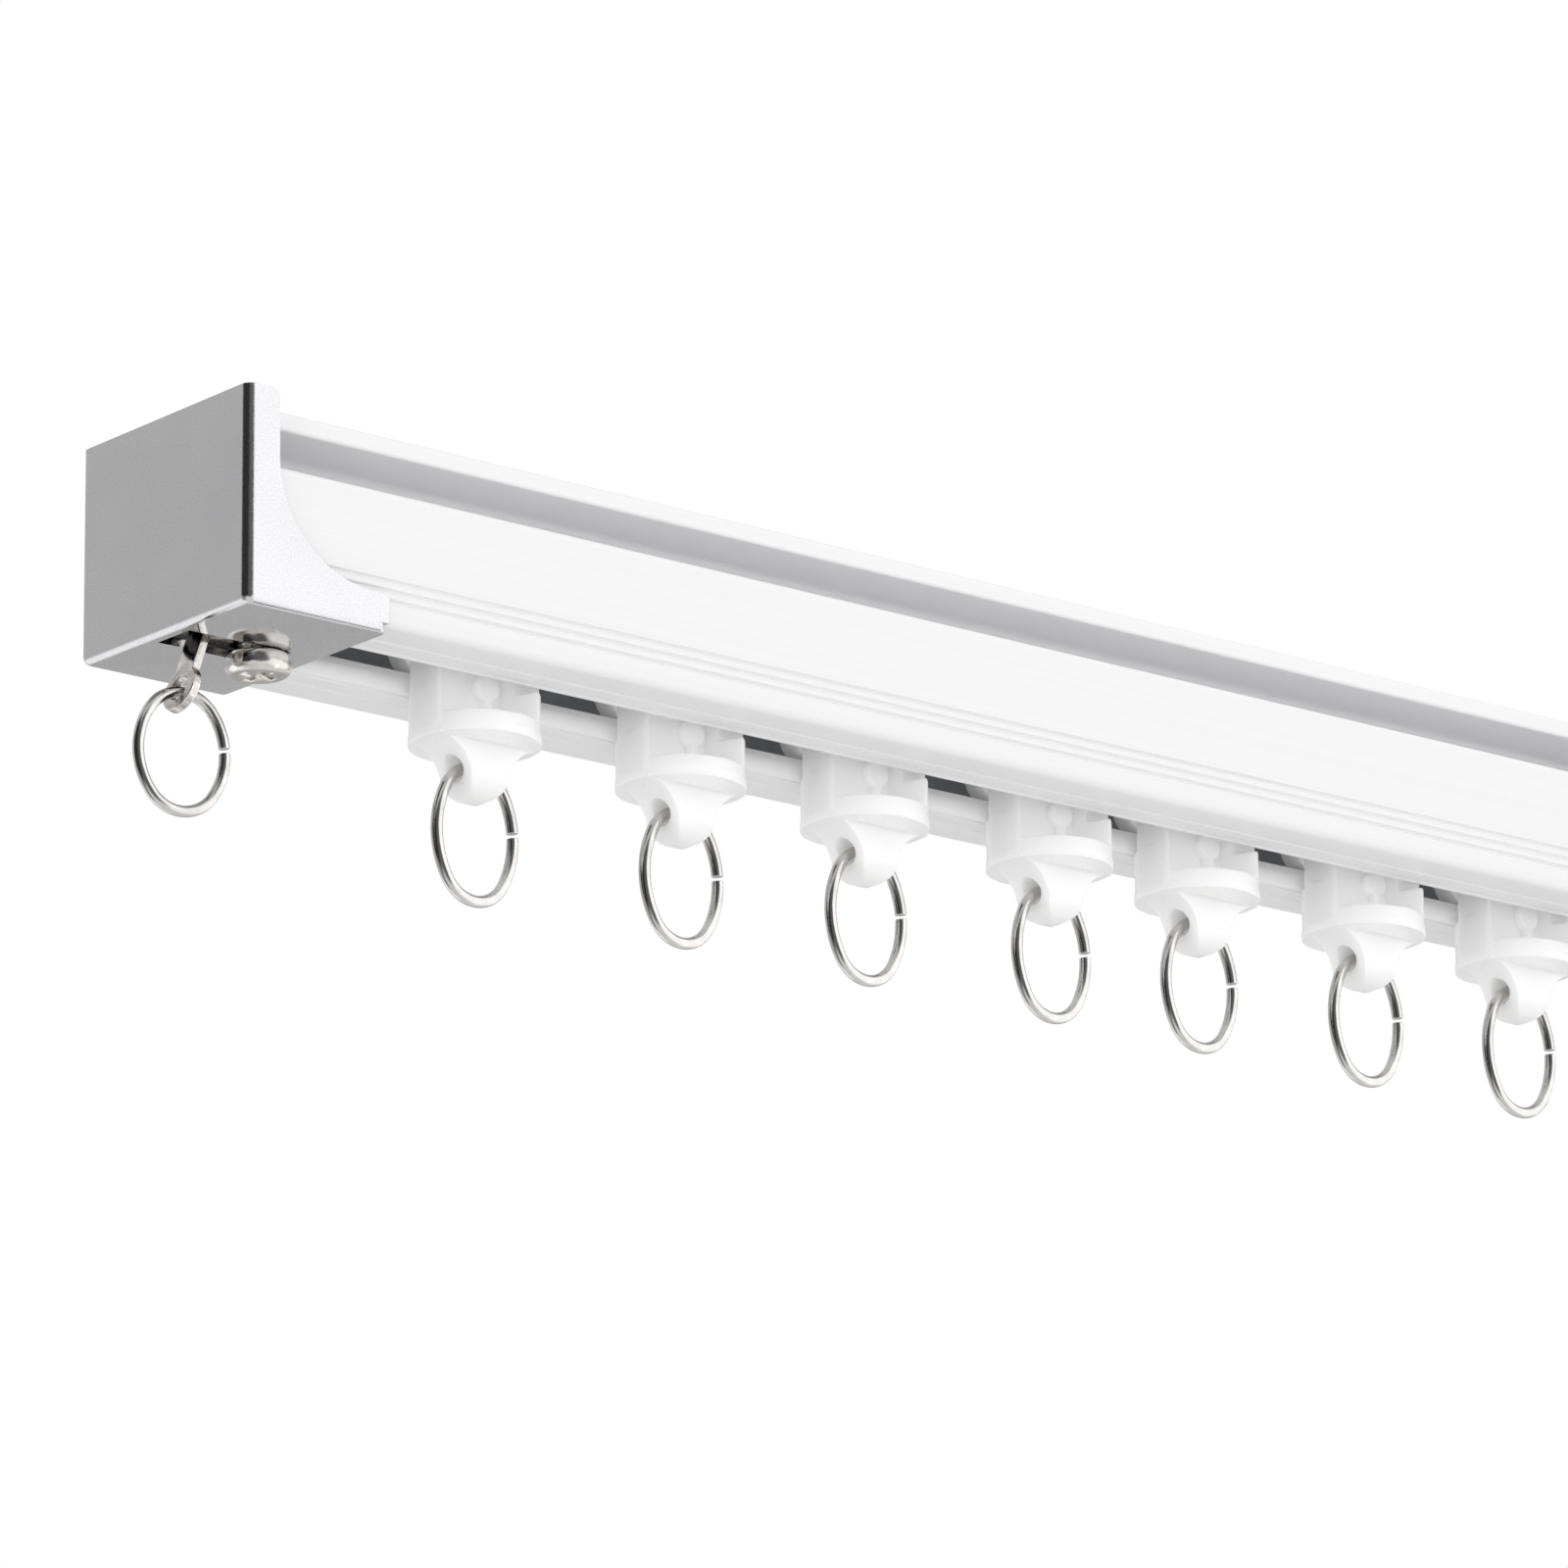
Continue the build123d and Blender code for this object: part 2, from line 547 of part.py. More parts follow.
for number, place in enumerate(CARRIER_PLACES, start=1):
    carrier_x = place - HALF
    placed(carrier, carrier_x, f"carrier_{number}_body")
    placed(wheel_pair, carrier_x - WHEEL_SPACING / 2, f"carrier_{number}_front_wheels")
    placed(wheel_pair, carrier_x + WHEEL_SPACING / 2, f"carrier_{number}_rear_wheels")
    placed(ring, carrier_x, f"carrier_{number}_ring")

# ---------------------------------------------------------------- ceiling brackets, at x = 0
hook_inner = FLANGE_HALF + BRACKET_HOOK_GAP
hook_lip_top = BASE + FLANGE_BOTTOM - BRACKET_LIP_GAP
hook_lip_bottom = hook_lip_top - BRACKET_HOOK_SHEET
hook_lip_end = hook_inner - BRACKET_HOOK_REACH
plate_front = PIVOT_Y - PIVOT_MARGIN
with BuildPart() as bracket:
    with BuildSketch(Plane.YZ):
        with BuildLine():
            FilletPolyline(
                (plate_front, 0),
                (hook_inner + BRACKET_SHEET, 0),
                (hook_inner + BRACKET_SHEET, hook_lip_bottom),
                (hook_lip_end, hook_lip_bottom),
                radius=BRACKET_BEND,
            )
            Polyline(
                (hook_lip_end, hook_lip_bottom),
                (hook_lip_end, hook_lip_top),
                (hook_inner, hook_lip_top),
                (hook_inner, -BRACKET_SHEET),
                (plate_front, -BRACKET_SHEET),
                (plate_front, 0),
            )
        make_face()
    extrude(amount=BRACKET_LENGTH / 2, both=True)
    front_corners = bracket.edges().filter_by(Axis.Z).group_by(Axis.Y)[0]
    fillet(front_corners, BRACKET_CORNER)
    with Locations(Plane(origin=(0, 0, -BRACKET_SHEET), z_dir=(0, 0, -1))):
        CounterSinkHole(radius=SCREW_HOLE, counter_sink_radius=COUNTERSINK, depth=BRACKET_SHEET + CUT_PAST)
    with BuildSketch(Plane.XY.offset(-BRACKET_SHEET - CUT_PAST)):
        with Locations((0, PIVOT_Y)):
            Circle(PIVOT_RADIUS)
    extrude(amount=BRACKET_SHEET + 2 * CUT_PAST, mode=Mode.SUBTRACT)

lever_top = BASE + FLANGE_BOTTOM - LEVER_GAP
with BuildPart() as lever:
    with BuildSketch(Plane.XY.offset(lever_top)):
        with Locations((0, PIVOT_Y)):
            Circle(LEVER_HUB)
        with Locations((0, PIVOT_Y + LEVER_CAM / 2)):
            Rectangle(2 * LEVER_HUB, LEVER_CAM)
        with Locations((0, PIVOT_Y - LEVER_TAIL / 2)):
            Rectangle(LEVER_TAIL_WIDTH, LEVER_TAIL)
        with Locations((0, PIVOT_Y - LEVER_TAIL)):
            Circle(LEVER_TAIL_RADIUS)
        with Locations((0, PIVOT_Y)):
            Circle(PIVOT_RADIUS + PIVOT_PLAY, mode=Mode.SUBTRACT)
    extrude(amount=-LEVER_SHEET)
    cam_corners = lever.edges().filter_by(Axis.Z).group_by(Axis.Y)[-1]
    fillet(cam_corners, LEVER_CAM_CORNER)

with BuildPart() as rivet:
    head_top = lever_top - LEVER_SHEET - RIVET_GAP
    with BuildSketch(Plane.XY.offset(head_top)):
        with Locations((0, PIVOT_Y)):
            Circle(PIVOT_RADIUS)
    extrude(amount=-head_top)
    with BuildSketch(Plane.XY.offset(head_top)):
        with Locations((0, PIVOT_Y)):
            Circle(RIVET_HEAD_RADIUS)
    extrude(amount=-RIVET_HEAD)
    fillet(rivet.edges().sort_by(Axis.Z)[0], RIVET_HEAD_DOME)
    with BuildSketch(Plane.XY.offset(lever_top + RIVET_GAP)):
        with Locations((0, PIVOT_Y)):
            Circle(RIVET_SHOULDER)
    extrude(amount=-BRACKET_SHEET - lever_top - RIVET_GAP)

for side, name in ((-1, "left"), (1, "right")):
    bracket_x = side * BRACKET_SPACING / 2
    placed(bracket, bracket_x, f"bracket_plate_{name}")
    placed(lever, bracket_x, f"bracket_lever_{name}")
    placed(rivet, bracket_x, f"bracket_rivet_{name}")

# ---------------------------------------------------------------- S hook on the last carrier's ring
ring_bottom_z = ring_z - RING_HALF_HEIGHT
s_x = CARRIER_PLACES[-1] - HALF
s_top = RING_WIRE + S_WIRE + HANG_GAP       # wire centre of the hook above that of the ring
s_turn = radians(S_START + 90)
s_loop = (0, s_top - S_TOP_RADIUS)
s_arc_start = (S_TOP_RADIUS * cos(s_turn), s_loop[1] + S_TOP_RADIUS * sin(s_turn))
s_free = (
    s_arc_start[0] - S_FREE * cos(radians(S_START)),
    s_arc_start[1] - S_FREE * sin(radians(S_START)),
)
s_plane = Plane(
    origin=(s_x, 0, ring_bottom_z),
    x_dir=(0, cos(radians(S_LEAN)), sin(radians(S_LEAN))),
    z_dir=(1, 0, 0),
)
with BuildPart() as s_hook:
    with BuildLine(s_plane) as s_path:
        bent_wire(s_free, S_START, S_STEPS)
    sweep_wire(s_path, S_WIRE)
save(s_hook, "s_hook")

# ---------------------------------------------------------------- clip on the right end ring
ring_line = Vector(cos(radians(END_RING_TURN)), sin(radians(END_RING_TURN)), 0)
clip_plane = Plane(
    origin=(-eye_x, 0, end_ring_z - END_RING_HALF_HEIGHT),
    x_dir=(-ring_line.Y, ring_line.X, 0),
    z_dir=(ring_line.X, ring_line.Y, 0),
)
loop_v = END_RING_WIRE + CLIP_WIRE + HANG_GAP - CLIP_HOOK_RADIUS
rivet_v = loop_v - CLIP_REACH
cross_turn = degrees(asin((CLIP_HOOK_RADIUS + CLIP_EYE) / CLIP_REACH))
stem_heading = -90 - cross_turn
stem_length = sqrt(CLIP_REACH**2 - (CLIP_HOOK_RADIUS + CLIP_EYE) ** 2)
clip_turn = radians(CLIP_START + 90)
clip_free = (
    CLIP_HOOK_RADIUS * cos(clip_turn) - CLIP_FREE * cos(radians(CLIP_START)),
    loop_v + CLIP_HOOK_RADIUS * sin(clip_turn) - CLIP_FREE * sin(radians(CLIP_START)),
)
clip_steps = (
    (CLIP_FREE, 0),
    (CLIP_HOOK_RADIUS, stem_heading - CLIP_START),
    (stem_length, 0),
    (CLIP_EYE, CLIP_EYE_HEADING - stem_heading),
    (CLIP_EYE_END, 0),
)
with BuildPart() as clip_hook:
    with BuildLine(clip_plane) as clip_path:
        bent_wire(clip_free, CLIP_START, clip_steps)
    sweep_wire(clip_path, CLIP_WIRE)
save(clip_hook, "clip_hook")


def jaw(side, half_depth, rivet_hole, name):
    """One jaw, a folded sheet: two side walls with an ear each, and the spine along their outer edge."""
    along = (Vector(*JAW_TOP) - Vector(*JAW_FOOT)).normalized()
    inward = Vector(along.Y, -along.X) * CLIP_SHEET
    low = Vector(*JAW_FOOT) + inward - along * 3
    high = Vector(*JAW_TOP) + inward + along * 3
    across = Vector(20, 0)
    outline = [JAW_TOP, JAW_HANDLE, JAW_ELBOW, (0, EAR), (0, -EAR), JAW_WAIST, JAW_TIP, JAW_FOOT]
    inside = [(p.X, p.Y) for p in (low, high, high + across, low + across)]
    with BuildPart() as piece:
        with BuildSketch(clip_plane):
            with BuildLine():
                Polyline(*[(side * u, rivet_v + v) for u, v in outline], close=True)
            make_face()
            with Locations((0, rivet_v)):
                Circle(EAR)
                Circle(rivet_hole, mode=Mode.SUBTRACT)
        extrude(amount=half_depth, both=True)
        with BuildSketch(clip_plane):
            with BuildLine():
                Polyline(*[(side * u, rivet_v + v) for u, v in inside], close=True)
            make_face()
        extrude(amount=half_depth - CLIP_SHEET, both=True, mode=Mode.SUBTRACT)
    save(piece, name)


jaw(-1, CLIP_HALF_DEPTH, RIVET_RADIUS, "clip_jaw_fixed")
jaw(1, CLIP_HALF_DEPTH - CLIP_SHEET - JAW_GAP, RIVET_RADIUS + PIVOT_PLAY, "clip_jaw_moving")

with BuildPart() as clip_rivet:
    with BuildSketch(clip_plane):
        with Locations((0, rivet_v)):
            Circle(RIVET_RADIUS)
    extrude(amount=CLIP_HALF_DEPTH, both=True)
    for side in (-1, 1):
        with BuildSketch(clip_plane.offset(side * CLIP_HALF_DEPTH)):
            with Locations((0, rivet_v)):
                Circle(RIVET_RADIUS + RIVET_RIM)
        extrude(amount=side * RIVET_RIM_HEIGHT)
save(clip_rivet, "clip_rivet")

# torsion spring: a coil round the rivet with a leg behind each handle
spring_start = radians(SPRING_START)
spring_plane = Plane(
    origin=clip_plane.from_local_coords((0, rivet_v, CLIP_WIRE + SPRING_GAP + SPRING_WIRE)),
    x_dir=clip_plane.x_dir * cos(spring_start) + clip_plane.y_dir * sin(spring_start),
    z_dir=clip_plane.z_dir,
)
turn_length = sqrt((2 * pi * SPRING_RADIUS) ** 2 + SPRING_PITCH**2)
leg_along = SPRING_LEG * 2 * pi * SPRING_RADIUS / turn_length
leg_climb = SPRING_LEG * SPRING_PITCH / turn_length
spring_end = 2 * pi * SPRING_TURNS
spring_height = SPRING_PITCH * SPRING_TURNS
end_point = (SPRING_RADIUS * cos(spring_end), SPRING_RADIUS * sin(spring_end), spring_height)
with BuildPart() as spring:
    with BuildLine() as spring_path:
        Line((SPRING_RADIUS, -leg_along, -leg_climb), (SPRING_RADIUS, 0, 0))
        Helix(SPRING_PITCH, spring_height, SPRING_RADIUS)
        Line(
            end_point,
            (
                end_point[0] - leg_along * sin(spring_end),
                end_point[1] + leg_along * cos(spring_end),
                spring_height + leg_climb,
            ),
        )
    sweep_wire(spring_path, SPRING_WIRE)
with BuildPart() as clip_spring:
    with Locations(spring_plane):
        add(spring.part)
save(clip_spring, "clip_spring")
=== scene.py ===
import json
import math

import bmesh
import bpy
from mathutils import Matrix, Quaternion, Vector

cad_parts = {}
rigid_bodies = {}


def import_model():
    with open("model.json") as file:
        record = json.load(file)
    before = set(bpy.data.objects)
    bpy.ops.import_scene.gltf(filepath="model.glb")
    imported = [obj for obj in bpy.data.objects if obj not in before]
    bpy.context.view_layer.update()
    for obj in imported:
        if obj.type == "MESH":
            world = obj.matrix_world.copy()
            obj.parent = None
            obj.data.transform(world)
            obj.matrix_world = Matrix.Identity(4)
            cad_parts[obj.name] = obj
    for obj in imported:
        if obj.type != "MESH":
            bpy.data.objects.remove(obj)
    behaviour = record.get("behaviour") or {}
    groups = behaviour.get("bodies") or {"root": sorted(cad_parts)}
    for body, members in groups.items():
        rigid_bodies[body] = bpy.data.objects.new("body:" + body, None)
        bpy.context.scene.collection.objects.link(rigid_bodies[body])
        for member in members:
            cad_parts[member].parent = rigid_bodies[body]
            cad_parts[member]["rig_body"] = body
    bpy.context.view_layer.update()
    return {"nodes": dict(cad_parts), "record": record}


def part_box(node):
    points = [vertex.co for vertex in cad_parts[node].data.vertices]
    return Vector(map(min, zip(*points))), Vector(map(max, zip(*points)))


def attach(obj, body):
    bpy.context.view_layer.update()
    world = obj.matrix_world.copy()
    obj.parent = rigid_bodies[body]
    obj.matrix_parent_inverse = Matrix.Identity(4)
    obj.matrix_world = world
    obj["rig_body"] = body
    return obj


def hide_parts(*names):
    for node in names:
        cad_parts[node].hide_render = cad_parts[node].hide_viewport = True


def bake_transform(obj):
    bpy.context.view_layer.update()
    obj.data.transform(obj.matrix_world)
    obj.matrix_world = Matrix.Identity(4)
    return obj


# A ceiling curtain track seen from below: coated aluminium rail, plated end caps with an eyelet, milky
# nylon carriers with split rings, ceiling brackets, an S hook and a spring clip. Metres, in the CAD frame.

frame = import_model()
nodes = frame["nodes"]
slot_of = {part["node"]: part["material_slot"] for part in frame["record"]["subparts"]}
scene = bpy.context.scene
MM = 0.001
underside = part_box("track")[0].z
outer_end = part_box("end_cap_left")[0].x

# track section, in millimetres above its underside
FLANGE_HALF = 9.1
TRACK_TOP = 22.8
FLANGE_BOTTOM = 20.7
WEB_HALF = 0.75
CHANNEL_HALF = 14.0
CHANNEL_TOP = 14.8
WALL = 1.3
LIP = 2.1
SLOT_HALF = 4.0
BEAD = 1.6
GROOVE_HEIGHTS = (4.9, 3.83, 2.75)
GROOVE_HALF = 0.26
GROOVE_DEPTH = 0.5
LIP_LINE = 8.9
LIP_LINE_HALF = 0.16
LIP_LINE_DEPTH = 0.2
BEAD_GROOVE_HALF = 0.34
BEAD_GROOVE_DEPTH = 0.62
BEAD_EASE = 0.02                    # leaves the bead's arc a little short of the lip's face

# ---------------------------------------------------------------- camera
CAMERA_AZIMUTH = math.radians(-39.760)
CAMERA_ELEVATION = math.radians(-15.936)
CAMERA_ROLL = math.radians(-0.567)
CAMERA_DISTANCE = 0.9725
CAMERA_AIM = Vector((outer_end + 84.40 * MM, 0, underside - 2.67 * MM))
LENS = 202.31
SENSOR = 36.0
NEAREST = 0.01
FARTHEST = 200.0


def direction(azimuth, elevation):
    """From the object towards a place seen at that azimuth (0 is the -Y side, 90 the +X side)."""
    level = math.cos(elevation)
    return Vector((math.sin(azimuth) * level, -math.cos(azimuth) * level, math.sin(elevation)))


def make_camera():
    camera = bpy.data.objects.new("camera", bpy.data.cameras.new("camera"))
    scene.collection.objects.link(camera)
    back = direction(CAMERA_AZIMUTH, CAMERA_ELEVATION)
    camera.location = CAMERA_AIM + back * CAMERA_DISTANCE
    camera.rotation_mode = "QUATERNION"
    level = (-back).to_track_quat("-Z", "Y")
    camera.rotation_quaternion = level @ Quaternion((0, 0, 1), CAMERA_ROLL)
    camera.data.sensor_width = SENSOR
    camera.data.lens = LENS
    camera.data.clip_start = NEAREST
    camera.data.clip_end = FARTHEST
    scene.camera = camera


make_camera()
scene.view_settings.view_transform = "Standard"


# ---------------------------------------------------------------- studio
FLOOR_HEIGHT = -4.5
FLOOR_HALF = 30.0
FLOOR_COLOUR = (0.93, 0.93, 0.93)
FLOOR_ROUGHNESS = 0.9
BACKDROP = 1.0                      # white seen by the camera
SOFT_LIGHT = (0.88, 1.24)           # light on matt surfaces, least and most
SOFT_FROM = (-12, -20)              # where most of it comes from
SURROUNDINGS = 0.9                  # what metal mirrors, with the areas below over it
AREAS = (                           # azimuth, elevation, inner and outer angle, radiance
    (50, 10, 40, 75, 1.55),
    (0, 88, 24, 46, 0.3),
    (-145, 14, 24, 45, 0.64),
    (-160, -42, 12, 34, 1.3),
    (142, -14, 14, 32, 0.54),
    (140, 24, 12, 26, 0.2),
    (-30, 6, 24, 44, 0.16),
    (-85, 10, 30, 48, 0.04),
    (-110, -35, 12, 30, 0.35),
)


def make_studio():
    """Soft light all round, and the bright and dark areas that bare metal mirrors."""
    world = bpy.data.worlds.new("studio")
    scene.world = world
    world.use_nodes = True
    tree = world.node_tree
    links = tree.links
    coordinates = tree.nodes.new("ShaderNodeTexCoord")

    def towards(azimuth, elevation):
        """The cosine of the angle from that place."""
        dot = tree.nodes.new("ShaderNodeVectorMath")
        dot.operation = "DOT_PRODUCT"
        links.new(coordinates.outputs["Generated"], dot.inputs[0])
        dot.inputs[1].default_value = direction(math.radians(azimuth), math.radians(elevation))
        return dot.outputs["Value"]

    def ranged(value, start, end, low, high, kind):
        """The value's range from start to end, carried to low and high."""
        remap = tree.nodes.new("ShaderNodeMapRange")
        remap.interpolation_type = kind
        links.new(value, remap.inputs["Value"])
        for socket, number in zip(remap.inputs[1:5], (start, end, low, high)):
            socket.default_value = number
        return remap.outputs["Result"]

    def mixed(factor, first, second):
        """From the first at factor 0 to the second at factor 1, each a socket or a number."""
        mix = tree.nodes.new("ShaderNodeMix")
        links.new(factor, mix.inputs["Factor"])
        for socket, value in zip((mix.inputs["A"], mix.inputs["B"]), (first, second)):
            if isinstance(value, float):
                socket.default_value = value
            else:
                links.new(value, socket)
        return mix.outputs["Result"]

    mirrored = SURROUNDINGS
    for azimuth, elevation, inner, outer, radiance in AREAS:
        edge, core = (math.cos(math.radians(angle)) for angle in (outer, inner))
        mask = ranged(towards(azimuth, elevation), edge, core, 0.0, 1.0, "SMOOTHSTEP")
        mirrored = mixed(mask, mirrored, float(radiance))
    soft = ranged(towards(*SOFT_FROM), -1.0, 1.0, *SOFT_LIGHT, "LINEAR")
    rays = tree.nodes.new("ShaderNodeLightPath")
    level = mixed(rays.outputs["Is Diffuse Ray"], mirrored, soft)
    level = mixed(rays.outputs["Is Camera Ray"], level, BACKDROP)
    links.new(level, tree.nodes["Background"].inputs["Strength"])
    tree.nodes["Background"].inputs["Color"].default_value = (1, 1, 1, 1)


def make_floor():
    """A pale floor far below, since the track hangs from a ceiling."""
    mesh = bpy.data.meshes.new("floor")
    corners = [(x * FLOOR_HALF, y * FLOOR_HALF, 0) for x, y in ((-1, -1), (1, -1), (1, 1), (-1, 1))]
    mesh.from_pydata(corners, [], [(0, 1, 2, 3)])
    floor = bpy.data.objects.new("floor", mesh)
    floor.location.z = FLOOR_HEIGHT
    scene.collection.objects.link(floor)
    floor.visible_diffuse = False
    floor.visible_glossy = False
    plaster = bpy.data.materials.new("floor_plaster")
    plaster.use_nodes = True
    shader = plaster.node_tree.nodes["Principled BSDF"]
    shader.inputs["Base Color"].default_value = (*FLOOR_COLOUR, 1)
    shader.inputs["Roughness"].default_value = FLOOR_ROUGHNESS
    mesh.materials.append(plaster)


make_studio()
make_floor()


# ---------------------------------------------------------------- materials
# colours as darkest and lightest, or as one mean; sizes and depths of relief in millimetres
COATING = (0.9, 0.9, 0.91)
COATING_TONES = ((0.83, 0.83, 0.84), (0.855, 0.855, 0.86))
COATING_RELIEF = 0.01
# painted shade: the darker greys given to the channel's inside, for the shade in the closed channel
CHANNEL_SHADE_TONES = ((0.47, 0.48, 0.5), (0.6, 0.61, 0.63))
SHEET = (0.6, 0.6, 0.61)
SHEET_TONES = ((0.53, 0.53, 0.545), (0.69, 0.685, 0.695))
SHEET_RELIEF = 0.006
CASTING = (0.62, 0.6, 0.57)
CASTING_TONES = ((0.5, 0.475, 0.45), (0.84, 0.82, 0.78))
CASTING_RELIEF = 0.12
RING_STEEL = (0.62, 0.605, 0.59)
HOOK_STEEL = (0.66, 0.66, 0.67)
WIRE_RELIEF = 0.004
CLIP_STEEL = (0.68, 0.67, 0.69)
ZINC_STEEL = (0.66, 0.67, 0.69)
PRESSED_RELIEF = 0.008
CARRIER_NYLON = (0.985, 0.985, 0.98)
WHEEL_NYLON = (0.9, 0.9, 0.89)
NYLON_RELIEF = 0.02
NYLON_DEPTH = 1.2                   # how far light soaks in
NYLON_GLOW = 0.08                   # stands for light that reaches the nylon through its walls
CHANNEL_SHADE_MARGIN = 0.05                  # the painted shade inside the channel starts this far below the lips' upper face


def material(name, colour, metallic, roughness):
    """A Principled material, its node tree and its shader."""
    made = bpy.data.materials.new(name)
    made.use_nodes = True
    shader = made.node_tree.nodes["Principled BSDF"]
    shader.inputs["Base Color"].default_value = (*colour, 1)
    shader.inputs["Metallic"].default_value = metallic
    shader.inputs["Roughness"].default_value = roughness
    return made, made.node_tree, shader


def noise(tree, size, stretch=(1, 1, 1), detail=3.0):
    """Noise with lumps of that size in millimetres, drawn out along an axis by a stretch above 1."""
    place = tree.nodes.new("ShaderNodeTexCoord")
    mapping = tree.nodes.new("ShaderNodeMapping")
    mapping.inputs["Scale"].default_value = [1 / (size * MM * s) for s in stretch]
    texture = tree.nodes.new("ShaderNodeTexNoise")
    texture.inputs["Scale"].default_value = 1.0
    texture.inputs["Detail"].default_value = detail
    tree.links.new(place.outputs["Object"], mapping.inputs["Vector"])
    tree.links.new(mapping.outputs["Vector"], texture.inputs["Vector"])
    return texture.outputs["Fac"]


def spread(tree, value, low, high, start=0.3, end=0.7):
    """The value's range from start to end, carried to low and high."""
    remap = tree.nodes.new("ShaderNodeMapRange")
    tree.links.new(value, remap.inputs["Value"])
    remap.inputs["From Min"].default_value = start
    remap.inputs["From Max"].default_value = end
    remap.inputs["To Min"].default_value = low
    remap.inputs["To Max"].default_value = high
    return remap.outputs["Result"]


def combine(tree, operation, first, second):
    """Maths on two sockets, or on a socket and a number."""
    node = tree.nodes.new("ShaderNodeMath")
    node.operation = operation
    for socket, value in zip(node.inputs, (first, second)):
        if isinstance(value, (int, float)):
            socket.default_value = value
        else:
            tree.links.new(value, socket)
    return node.outputs["Value"]


def blend_colours(tree, factor, dark, light):
    """The dark colour at factor 0, the light one at factor 1."""
    ramp = tree.nodes.new("ShaderNodeValToRGB")
    tree.links.new(factor, ramp.inputs["Fac"])
    ramp.color_ramp.elements[0].color = (*dark, 1)
    ramp.color_ramp.elements[1].color = (*light, 1)
    return ramp.outputs["Color"]


def relief(tree, shader, height, depth):
    """A bump of that depth in millimetres."""
    bump = tree.nodes.new("ShaderNodeBump")
    bump.inputs["Distance"].default_value = depth * MM
    bump.inputs["Strength"].default_value = 1.0
    tree.links.new(height, bump.inputs["Height"])
    tree.links.new(bump.outputs["Normal"], shader.inputs["Normal"])


def edges_of(tree, low, high):
    """0 on flats and in hollows, 1 on outer edges."""
    geometry = tree.nodes.new("ShaderNodeNewGeometry")
    return spread(tree, geometry.outputs["Pointiness"], 0.0, 1.0, low, high)


def weighed(tree, first, share, second, other_share):
    """The two values, each times its share, added."""
    parts = [combine(tree, "MULTIPLY", *part) for part in ((first, share), (second, other_share))]
    return combine(tree, "ADD", *parts)


def between_tones(tree, value, tones, start=0.3, end=0.7):
    """The darker tone where the value is at start or less, the lighter where it is at end or more."""
    return blend_colours(tree, spread(tree, value, 0, 1, start, end), *tones)


def track_paint():
    """White coating over an extrusion, with fine lines along its length; the channel's inside is painted a
    darker grey, as painted shade.
    """
    line_size, line_run = 0.22, 500
    speck_size, speck_depth, speck_shade = 0.9, 0.3, 0.94
    channel_shade_share = 0.6
    made, tree, shader = material("track_paint", COATING, metallic=0.0, roughness=0.4)
    lines = noise(tree, line_size, stretch=(line_run, 1, 1), detail=2)
    specks = noise(tree, speck_size, detail=5)
    tone = combine(tree, "MULTIPLY", lines, spread(tree, specks, low=speck_shade, high=1.0))
    coated = between_tones(tree, tone, COATING_TONES, start=0.25, end=0.65)
    # painted shade: the channel's inside gets a darker grey in place of the coating
    channel_shade_tone = combine(tree, "MULTIPLY", combine(tree, "ADD", lines, specks), channel_shade_share)
    bare = blend_colours(tree, channel_shade_tone, *CHANNEL_SHADE_TONES)
    place = tree.nodes.new("ShaderNodeTexCoord")
    axes = tree.nodes.new("ShaderNodeSeparateXYZ")
    tree.links.new(place.outputs["Object"], axes.inputs["Vector"])
    across = combine(tree, "ABSOLUTE", axes.outputs["Y"], 0)
    between = combine(tree, "LESS_THAN", across, (CHANNEL_HALF - WALL / 2) * MM)
    lowest, highest = (LIP - CHANNEL_SHADE_MARGIN) * MM, (CHANNEL_TOP - WALL / 2) * MM
    over_lips = combine(tree, "GREATER_THAN", axes.outputs["Z"], underside + lowest)
    under_top = combine(tree, "LESS_THAN", axes.outputs["Z"], underside + highest)
    inside = combine(tree, "MULTIPLY", between, combine(tree, "MULTIPLY", over_lips, under_top))
    shown = tree.nodes.new("ShaderNodeMix")
    shown.data_type = "RGBA"
    tree.links.new(inside, shown.inputs["Factor"])
    tree.links.new(coated, shown.inputs["A"])
    tree.links.new(bare, shown.inputs["B"])
    tree.links.new(shown.outputs["Result"], shader.inputs["Base Color"])
    tree.links.new(spread(tree, lines, low=0.28, high=0.42), shader.inputs["Roughness"])
    height = combine(tree, "ADD", lines, combine(tree, "MULTIPLY", specks, speck_depth))
    relief(tree, shader, height, COATING_RELIEF)
    return made


def plated_sheet():
    """Pressed sheet: a fine satin grain on its upright faces, nearly a mirror below."""
    grain_size, cloud_size = 0.2, 9.0
    grain_share, cloud_share = 0.85, 0.15
    mirror_roughness = 0.06
    made, tree, shader = material("plated_sheet", SHEET, metallic=1.0, roughness=0.2)
    grain = noise(tree, grain_size, detail=4)
    clouds = noise(tree, cloud_size, detail=2)
    tone = weighed(tree, grain, grain_share, clouds, cloud_share)
    tree.links.new(between_tones(tree, tone, SHEET_TONES), shader.inputs["Base Color"])
    place = tree.nodes.new("ShaderNodeTexCoord")
    axes = tree.nodes.new("ShaderNodeSeparateXYZ")
    tree.links.new(place.outputs["Normal"], axes.inputs["Vector"])
    upright = spread(tree, axes.outputs["Z"], 0.0, 1.0, start=-0.95, end=-0.5)
    satin = combine(tree, "MULTIPLY", spread(tree, grain, low=0.08, high=0.18), upright)
    tree.links.new(combine(tree, "ADD", satin, mirror_roughness), shader.inputs["Roughness"])
    relief(tree, shader, combine(tree, "MULTIPLY", grain, upright), SHEET_RELIEF)
    return made


